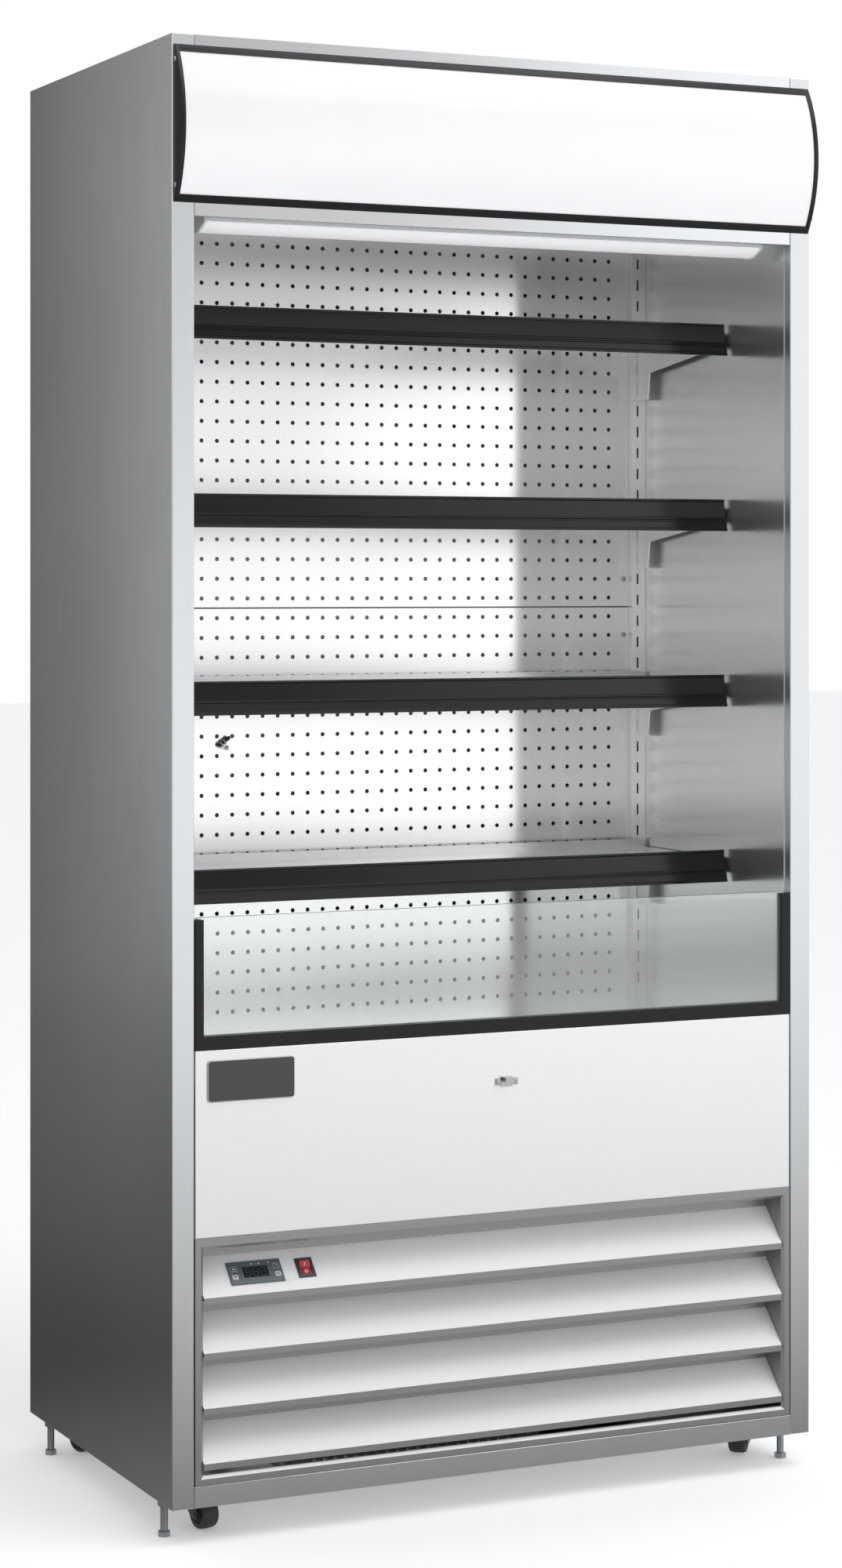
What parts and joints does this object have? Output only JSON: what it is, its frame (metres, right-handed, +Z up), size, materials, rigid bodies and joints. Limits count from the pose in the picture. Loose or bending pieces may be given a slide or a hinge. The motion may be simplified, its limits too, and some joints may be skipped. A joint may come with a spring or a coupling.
{
  "type": "open multideck display fridge",
  "caption": "Upright open-front display fridge: stainless cabinet, curved light sign, shelves on slotted uprights, low front glass, louvred base, castors and feet.",
  "frame": {"origin": "middle of the footprint's bounding box, on the floor under the levelling feet", "axes": "+Z up, +Y from the open front to the back, +X to the right seen from the front"},
  "size_m": [1, 0.6318, 2.04],
  "materials": {
    "stainless_outer": "brushed",
    "stainless_inner": "semi-polished",
    "stainless_front": "brushed",
    "grille_steel": "satin",
    "perforated_steel": "satin",
    "galvanised": "satin",
    "foam": "matte",
    "black_profile": "semi-gloss",
    "black_plastic": "matte",
    "white_plastic": "translucent",
    "lamp_plastic": "satin",
    "pane": "clear",
    "badge_dark": "satin",
    "honeycomb_plastic": "matte",
    "red_rocker": "gloss",
    "key_grey": "matte",
    "zinc": "zinc plated",
    "castor_steel": "satin",
    "castor_tyre": "matte",
    "coil_aluminium": "satin",
    "copper": "satin",
    "compressor_black": "satin",
    "fan_plastic": "matte",
    "curtain_fabric": "matte",
    "curtain_aluminium": "satin",
    "probe_black": "satin",
    "screw_steel": "polished"
  },
  "bodies": {
    "cabinet": {"side_panel_left": "stainless_outer", "side_panel_right": "stainless_outer", "back_panel": "galvanised", "top_panel": "stainless_outer", "canopy_panel": "stainless_outer", "base_frame": "stainless_outer", "foam_insulation": "foam", "inner_liner": "stainless_inner", "duct_panel_upper": "perforated_steel", "duct_panel_lower": "perforated_steel", "air_honeycomb": "honeycomb_plastic", "deck_tray": "stainless_inner", "shelf_supports": "stainless_inner", "louvre_grille": "grille_steel", "front_panel": "stainless_front", "badge_plate": "badge_dark", "front_glass": "pane", "glass_frame": "black_profile", "control_housings": "black_plastic", "sign_panel": "white_plastic", "sign_frame": "black_profile", "lamp": "lamp_plastic", "condenser_coil": "coil_aluminium", "evaporator_coil": "coil_aluminium", "fan_mounts": "galvanised", "compressor": "compressor_black", "refrigerant_pipes": "copper", "sensor_probe": "probe_black", "fasteners": "screw_steel", "curtain_cloth": "curtain_fabric"},
    "shelf_1": {"shelf_plate_1": "stainless_inner", "ticket_rail_1": "black_profile"},
    "shelf_2": {"shelf_plate_2": "stainless_inner", "ticket_rail_2": "black_profile"},
    "shelf_3": {"shelf_plate_3": "stainless_inner", "ticket_rail_3": "black_profile"},
    "shelf_4": {"shelf_plate_4": "stainless_inner", "ticket_rail_4": "black_profile"},
    "castor_fork_front_left": {"castor_fork_front_left": "castor_steel"},
    "castor_wheel_front_left": {"castor_wheel_front_left": "castor_tyre"},
    "castor_fork_front_right": {"castor_fork_front_right": "castor_steel"},
    "castor_wheel_front_right": {"castor_wheel_front_right": "castor_tyre"},
    "castor_fork_rear_left": {"castor_fork_rear_left": "castor_steel"},
    "castor_wheel_rear_left": {"castor_wheel_rear_left": "castor_tyre"},
    "castor_fork_rear_right": {"castor_fork_rear_right": "castor_steel"},
    "castor_wheel_rear_right": {"castor_wheel_rear_right": "castor_tyre"},
    "foot_front_left": {"levelling_foot_front_left": "zinc"},
    "foot_front_right": {"levelling_foot_front_right": "zinc"},
    "foot_rear_left": {"levelling_foot_rear_left": "zinc"},
    "foot_rear_right": {"levelling_foot_rear_right": "zinc"},
    "key_up": {"key_up": "key_grey"},
    "key_down": {"key_down": "key_grey"},
    "key_set": {"key_set": "key_grey"},
    "key_defrost": {"key_defrost": "key_grey"},
    "switch_rocker": {"switch_rocker": "red_rocker"},
    "condenser_fan": {"condenser_fan": "fan_plastic"},
    "evaporator_fan_left": {"evaporator_fan_left": "fan_plastic"},
    "evaporator_fan_right": {"evaporator_fan_right": "fan_plastic"},
    "curtain_bar": {"curtain_bar": "curtain_aluminium"},
    "curtain_roller": {"curtain_roller": "curtain_fabric"}
  },
  "joints": [
    {"name": "shelf_1_lift", "type": "slide", "parent": "cabinet", "child": "shelf_1", "axis": [0, 0, 1], "range_m": [0, 0.03]},
    {"name": "shelf_2_lift", "type": "slide", "parent": "cabinet", "child": "shelf_2", "axis": [0, 0, 1], "range_m": [0, 0.03]},
    {"name": "shelf_3_lift", "type": "slide", "parent": "cabinet", "child": "shelf_3", "axis": [0, 0, 1], "range_m": [0, 0.03]},
    {"name": "shelf_4_lift", "type": "slide", "parent": "cabinet", "child": "shelf_4", "axis": [0, 0, 1], "range_m": [0, 0.03]},
    {"name": "castor_swivel_front_left", "type": "hinge", "parent": "cabinet", "child": "castor_fork_front_left", "pos_m": [-0.43, -0.1939, 0.047], "axis": [0, 0, 1], "continuous": true},
    {"name": "castor_roll_front_left", "type": "hinge", "parent": "castor_fork_front_left", "child": "castor_wheel_front_left", "pos_m": [-0.42618, -0.21557, 0.0225], "axis": [0.9848, 0.1736, 0], "continuous": true},
    {"name": "castor_swivel_front_right", "type": "hinge", "parent": "cabinet", "child": "castor_fork_front_right", "pos_m": [0.43, -0.1939, 0.047], "axis": [0, 0, 1], "continuous": true},
    {"name": "castor_roll_front_right", "type": "hinge", "parent": "castor_fork_front_right", "child": "castor_wheel_front_right", "pos_m": [0.44414, -0.17705, 0.0225], "axis": [-0.766, 0.6428, 0], "continuous": true},
    {"name": "castor_swivel_rear_left", "type": "hinge", "parent": "cabinet", "child": "castor_fork_rear_left", "pos_m": [-0.43, 0.2221, 0.047], "axis": [0, 0, 1], "continuous": true},
    {"name": "castor_roll_rear_left", "type": "hinge", "parent": "castor_fork_rear_left", "child": "castor_wheel_rear_left", "pos_m": [-0.4393, 0.24204, 0.0225], "axis": [-0.9063, -0.4226, 0], "continuous": true},
    {"name": "castor_swivel_rear_right", "type": "hinge", "parent": "cabinet", "child": "castor_fork_rear_right", "pos_m": [0.43, 0.2221, 0.047], "axis": [0, 0, 1], "continuous": true},
    {"name": "castor_roll_rear_right", "type": "hinge", "parent": "castor_fork_rear_right", "child": "castor_wheel_rear_right", "pos_m": [0.4368, 0.24302, 0.0225], "axis": [-0.9511, 0.309, 0], "continuous": true},
    {"name": "foot_travel_front_left", "type": "slide", "parent": "cabinet", "child": "foot_front_left", "axis": [0, 0, 1], "range_m": [-0.02, 0.012]},
    {"name": "foot_travel_front_right", "type": "slide", "parent": "cabinet", "child": "foot_front_right", "axis": [0, 0, 1], "range_m": [-0.02, 0.012]},
    {"name": "foot_travel_rear_left", "type": "slide", "parent": "cabinet", "child": "foot_rear_left", "axis": [0, 0, 1], "range_m": [-0.02, 0.012]},
    {"name": "foot_travel_rear_right", "type": "slide", "parent": "cabinet", "child": "foot_rear_right", "axis": [0, 0, 1], "range_m": [-0.02, 0.012]},
    {"name": "key_up_press", "type": "slide", "parent": "cabinet", "child": "key_up", "axis": [0, 0.7147, -0.6995], "range_m": [0, 0.0005], "stiffness_N_per_m": 400, "springref_m": -0.0005},
    {"name": "key_down_press", "type": "slide", "parent": "cabinet", "child": "key_down", "axis": [0, 0.7147, -0.6995], "range_m": [0, 0.0005], "stiffness_N_per_m": 400, "springref_m": -0.0005},
    {"name": "key_set_press", "type": "slide", "parent": "cabinet", "child": "key_set", "axis": [0, 0.7147, -0.6995], "range_m": [0, 0.0005], "stiffness_N_per_m": 400, "springref_m": -0.0005},
    {"name": "key_defrost_press", "type": "slide", "parent": "cabinet", "child": "key_defrost", "axis": [0, 0.7147, -0.6995], "range_m": [0, 0.0005], "stiffness_N_per_m": 400, "springref_m": -0.0005},
    {"name": "rocker_throw", "type": "hinge", "parent": "cabinet", "child": "switch_rocker", "pos_m": [-0.2955, -0.26217, 0.35604], "axis": [1, 0, 0], "range_deg": [-16, 0]},
    {"name": "condenser_fan_spin", "type": "hinge", "parent": "cabinet", "child": "condenser_fan", "pos_m": [-0.11, -0.1269, 0.207], "axis": [0, 1, 0], "continuous": true},
    {"name": "evaporator_fan_left_spin", "type": "hinge", "parent": "cabinet", "child": "evaporator_fan_left", "pos_m": [-0.22, 0.1141, 0.54215], "axis": [0, 1, 0], "continuous": true},
    {"name": "evaporator_fan_right_spin", "type": "hinge", "parent": "cabinet", "child": "evaporator_fan_right", "pos_m": [0.22, 0.1141, 0.54215], "axis": [0, 1, 0], "continuous": true},
    {"name": "curtain_pull", "type": "slide", "parent": "cabinet", "child": "curtain_bar", "axis": [0, -0.0219, -0.9998], "range_m": [0, 1.185], "stiffness_N_per_m": 12, "springref_m": -0.6, "deforming": ["curtain_cloth"]},
    {"name": "curtain_roller_turn", "type": "hinge", "parent": "cabinet", "child": "curtain_roller", "pos_m": [0, -0.24386, 1.8865], "axis": [1, 0, 0], "range_deg": [0, 2640]}
  ],
  "couplings": [
    {"joint": "curtain_roller_turn", "follows": "curtain_pull", "rad_per_m": 38.462}
  ]
}
